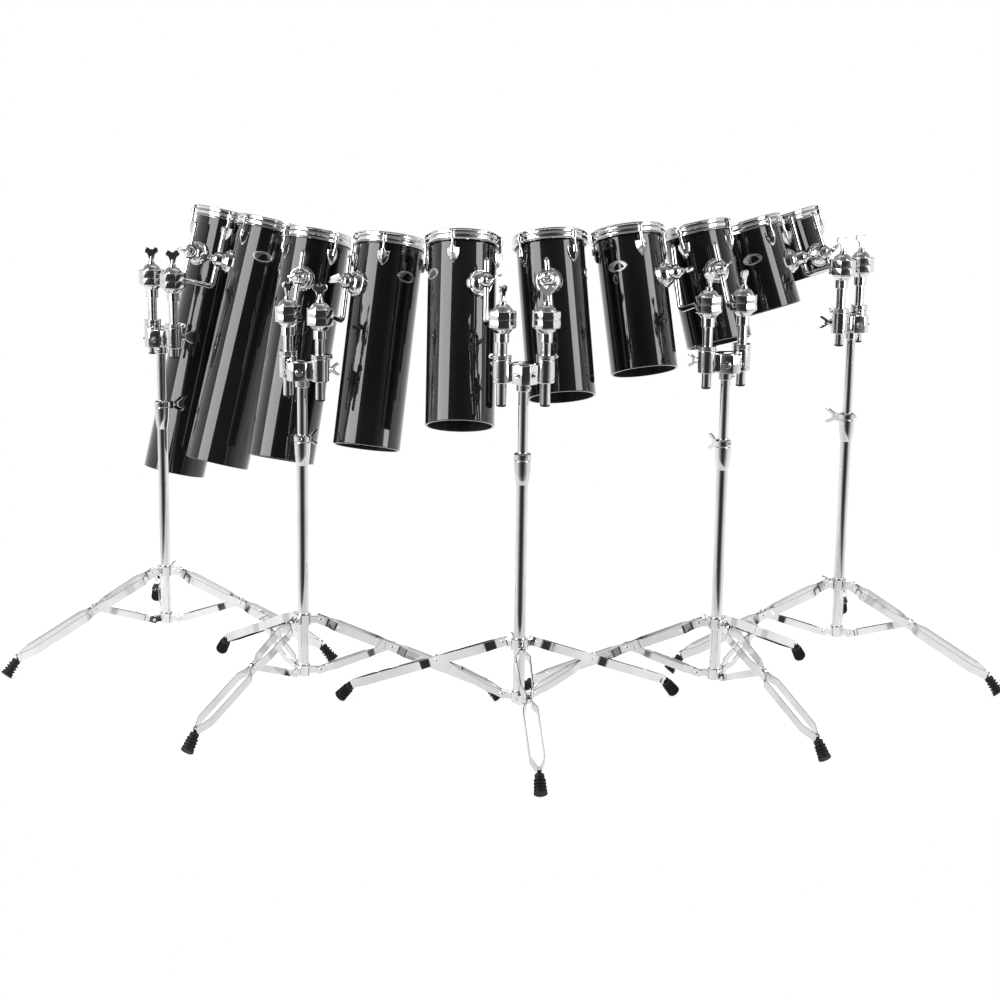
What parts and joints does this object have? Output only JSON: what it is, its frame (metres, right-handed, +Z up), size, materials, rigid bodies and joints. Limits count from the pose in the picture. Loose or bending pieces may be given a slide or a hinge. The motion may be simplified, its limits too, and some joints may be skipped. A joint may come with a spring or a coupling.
{
  "type": "octoban set",
  "caption": "Row of slim tube drums of stepped lengths, hung in pairs by ball-jointed rods from double-clamp tripod stands.",
  "frame": {"origin": "on the floor under the middle of the outline of the whole set", "axes": "+Z up, +X from the longest drum to the shortest, +Y away from the player"},
  "size_m": [2.3494, 1.5144, 1.1022],
  "materials": {
    "gloss_black": "gloss",
    "drum_film": "satin",
    "chrome": "polished"
  },
  "bodies": {
    "bases": {"centre_lower_tube": "chrome", "far_left_tripod": "chrome", "left_tripod": "chrome", "right_tripod": "chrome", "far_right_tripod": "chrome"},
    "leg_collar": {"centre_leg_collar": "chrome"},
    "leg_1": {"centre_leg_1": "chrome"},
    "leg_2": {"centre_leg_2": "chrome"},
    "leg_3": {"centre_leg_3": "chrome"},
    "brace_1": {"centre_brace_1": "chrome"},
    "brace_2": {"centre_brace_2": "chrome"},
    "brace_3": {"centre_brace_3": "chrome"},
    "far_left_column": {"far_left_column": "chrome"},
    "left_column": {"left_column": "chrome"},
    "centre_column": {"centre_column": "chrome"},
    "right_column": {"right_column": "chrome"},
    "far_right_column": {"far_right_column": "chrome"},
    "centre_post_left": {"centre_post_left": "chrome"},
    "centre_post_right": {"centre_post_right": "chrome"},
    "far_left_arm_left": {"far_left_arm_left": "chrome"},
    "drum_1": {"drum_1_shell": "gloss_black", "drum_1_head": "drum_film", "drum_1_hoop": "chrome"},
    "far_left_arm_right": {"far_left_arm_right": "chrome"},
    "drum_2": {"drum_2_shell": "gloss_black", "drum_2_head": "drum_film", "drum_2_hoop": "chrome"},
    "left_arm_left": {"left_arm_left": "chrome"},
    "drum_3": {"drum_3_shell": "gloss_black", "drum_3_head": "drum_film", "drum_3_hoop": "chrome"},
    "left_arm_right": {"left_arm_right": "chrome"},
    "drum_4": {"drum_4_shell": "gloss_black", "drum_4_head": "drum_film", "drum_4_hoop": "chrome"},
    "centre_arm_left": {"centre_arm_left": "chrome"},
    "drum_5": {"drum_5_shell": "gloss_black", "drum_5_head": "drum_film", "drum_5_hoop": "chrome"},
    "centre_arm_right": {"centre_arm_right": "chrome"},
    "drum_6": {"drum_6_shell": "gloss_black", "drum_6_head": "drum_film", "drum_6_hoop": "chrome"},
    "right_arm_left": {"right_arm_left": "chrome"},
    "drum_7": {"drum_7_shell": "gloss_black", "drum_7_head": "drum_film", "drum_7_hoop": "chrome"},
    "right_arm_right": {"right_arm_right": "chrome"},
    "drum_8": {"drum_8_shell": "gloss_black", "drum_8_head": "drum_film", "drum_8_hoop": "chrome"},
    "far_right_arm_left": {"far_right_arm_left": "chrome"},
    "drum_9": {"drum_9_shell": "gloss_black", "drum_9_head": "drum_film", "drum_9_hoop": "chrome"},
    "far_right_arm_right": {"far_right_arm_right": "chrome"},
    "drum_10": {"drum_10_shell": "gloss_black", "drum_10_head": "drum_film", "drum_10_hoop": "chrome"}
  },
  "joints": [
    {"name": "leg_collar_slide", "type": "slide", "parent": "bases", "child": "leg_collar", "axis": [0, 0, 1], "range_m": [0, 0.2087]},
    {"name": "leg_1_fold", "type": "hinge", "parent": "leg_collar", "child": "leg_1", "pos_m": [0.04184, -0.34202, 0.193], "axis": [0.9954, 0.0958, 0], "range_deg": [0, 50]},
    {"name": "leg_2_fold", "type": "hinge", "parent": "leg_collar", "child": "leg_2", "pos_m": [0.07029, -0.2796, 0.193], "axis": [-0.5807, 0.8141, 0], "range_deg": [0, 50]},
    {"name": "leg_3_fold", "type": "hinge", "parent": "leg_collar", "child": "leg_3", "pos_m": [0.00201, -0.28618, 0.193], "axis": [-0.4147, -0.91, 0], "range_deg": [0, 50]},
    {"name": "brace_1_fold", "type": "hinge", "parent": "bases", "child": "brace_1", "pos_m": [0.04184, -0.34202, 0.075], "axis": [0.9954, 0.0958, 0], "range_deg": [-50, 0]},
    {"name": "brace_2_fold", "type": "hinge", "parent": "bases", "child": "brace_2", "pos_m": [0.07029, -0.2796, 0.075], "axis": [-0.5807, 0.8141, 0], "range_deg": [-50, 0]},
    {"name": "brace_3_fold", "type": "hinge", "parent": "bases", "child": "brace_3", "pos_m": [0.00201, -0.28618, 0.075], "axis": [-0.4147, -0.91, 0], "range_deg": [-50, 0]},
    {"name": "far_left_height", "type": "slide", "parent": "bases", "child": "far_left_column", "axis": [0, 0, 1], "range_m": [-0.08, 0.15]},
    {"name": "left_height", "type": "slide", "parent": "bases", "child": "left_column", "axis": [0, 0, 1], "range_m": [-0.08, 0.15]},
    {"name": "centre_height", "type": "slide", "parent": "bases", "child": "centre_column", "axis": [0, 0, 1], "range_m": [-0.08, 0.15]},
    {"name": "right_height", "type": "slide", "parent": "bases", "child": "right_column", "axis": [0, 0, 1], "range_m": [-0.08, 0.15]},
    {"name": "far_right_height", "type": "slide", "parent": "bases", "child": "far_right_column", "axis": [0, 0, 1], "range_m": [-0.08, 0.15]},
    {"name": "post_left_swivel", "type": "hinge", "parent": "centre_column", "child": "centre_post_left", "pos_m": [-0.00941, -0.30013, 0.85], "axis": [0, 0, 1], "range_deg": [-3, 3]},
    {"name": "post_right_swivel", "type": "hinge", "parent": "centre_column", "child": "centre_post_right", "pos_m": [0.08416, -0.29112, 0.85], "axis": [0, 0, 1], "range_deg": [-3, 3]},
    {"name": "arm_1_tilt", "type": "hinge", "parent": "far_left_column", "child": "far_left_arm_left", "pos_m": [-0.85935, 0.35024, 0.923], "axis": [0.7278, -0.6858, 0], "range_deg": [-6, 8]},
    {"name": "drum_1_slide", "type": "slide", "parent": "far_left_arm_left", "child": "drum_1", "axis": [0.204, 0.1326, 0.9699], "range_m": [-0.02, 0.02]},
    {"name": "arm_2_tilt", "type": "hinge", "parent": "far_left_column", "child": "far_left_arm_right", "pos_m": [-0.79707, 0.27984, 0.923], "axis": [0.4787, -0.878, 0], "range_deg": [-6, 8]},
    {"name": "drum_2_slide", "type": "slide", "parent": "far_left_arm_right", "child": "drum_2", "axis": [0.2126, 0.1815, 0.9601], "range_m": [-0.02, 0.02]},
    {"name": "arm_3_tilt", "type": "hinge", "parent": "left_column", "child": "left_arm_left", "pos_m": [-0.48536, -0.09031, 0.894], "axis": [0.9998, -0.0209, 0], "range_deg": [-6, 8]},
    {"name": "drum_3_slide", "type": "slide", "parent": "left_arm_left", "child": "drum_3", "axis": [0.1456, 0.2231, 0.9639], "range_m": [-0.02, 0.02]},
    {"name": "arm_4_tilt", "type": "hinge", "parent": "left_column", "child": "left_arm_right", "pos_m": [-0.40931, -0.14556, 0.894], "axis": [0.9033, -0.4289, 0], "range_deg": [-6, 8]},
    {"name": "drum_4_slide", "type": "slide", "parent": "left_arm_right", "child": "drum_4", "axis": [0.0991, 0.2617, 0.96], "range_m": [-0.02, 0.02]},
    {"name": "arm_5_tilt", "type": "hinge", "parent": "centre_post_left", "child": "centre_arm_left", "pos_m": [-0.00941, -0.30013, 0.914], "axis": [0.9278, 0.373, 0], "range_deg": [-6, 8]},
    {"name": "drum_5_slide", "type": "slide", "parent": "centre_arm_left", "child": "drum_5", "axis": [-0.0003, 0.3461, 0.9382], "range_m": [-0.02, 0.02]},
    {"name": "arm_6_tilt", "type": "hinge", "parent": "centre_post_right", "child": "centre_arm_right", "pos_m": [0.08416, -0.29112, 0.914], "axis": [0.9907, -0.1357, 0], "range_deg": [-6, 8]},
    {"name": "drum_6_slide", "type": "slide", "parent": "centre_arm_right", "child": "drum_6", "axis": [-0.0853, 0.326, 0.9415], "range_m": [-0.02, 0.02]},
    {"name": "arm_7_tilt", "type": "hinge", "parent": "right_column", "child": "right_arm_left", "pos_m": [0.44355, -0.12304, 0.931], "axis": [0.8231, 0.5678, 0], "range_deg": [-6, 8]},
    {"name": "drum_7_slide", "type": "slide", "parent": "right_arm_left", "child": "drum_7", "axis": [-0.1277, 0.2926, 0.9477], "range_m": [-0.02, 0.02]},
    {"name": "arm_8_tilt", "type": "hinge", "parent": "right_column", "child": "right_arm_right", "pos_m": [0.52495, -0.07604, 0.931], "axis": [0.9715, 0.2368, 0], "range_deg": [-6, 8]},
    {"name": "drum_8_slide", "type": "slide", "parent": "right_arm_right", "child": "drum_8", "axis": [-0.2231, 0.2255, 0.9484], "range_m": [-0.02, 0.02]},
    {"name": "arm_9_tilt", "type": "hinge", "parent": "far_right_column", "child": "far_right_arm_left", "pos_m": [0.79195, 0.2409, 0.981], "axis": [0.6184, 0.7859, 0], "range_deg": [-6, 8]},
    {"name": "drum_9_slide", "type": "slide", "parent": "far_right_arm_left", "child": "drum_9", "axis": [-0.2902, 0.1596, 0.9436], "range_m": [-0.005, 0.02]},
    {"name": "arm_10_tilt", "type": "hinge", "parent": "far_right_column", "child": "far_right_arm_right", "pos_m": [0.84812, 0.31627, 0.981], "axis": [0.7749, 0.632, 0], "range_deg": [-6, 8]},
    {"name": "drum_10_slide", "type": "slide", "parent": "far_right_arm_right", "child": "drum_10", "axis": [-0.3183, 0.1427, 0.9372], "range_m": [-0.005, 0.02]}
  ],
  "couplings": [
    {"joint": "leg_2_fold", "follows": "leg_1_fold", "ratio": 1},
    {"joint": "leg_3_fold", "follows": "leg_1_fold", "ratio": 1},
    {"joint": "brace_1_fold", "follows": "leg_1_fold", "ratio": -1},
    {"joint": "brace_2_fold", "follows": "leg_1_fold", "ratio": -1},
    {"joint": "brace_3_fold", "follows": "leg_1_fold", "ratio": -1},
    {"joint": "leg_collar_slide", "follows": "leg_1_fold", "m_per_rad": 0.2392}
  ]
}
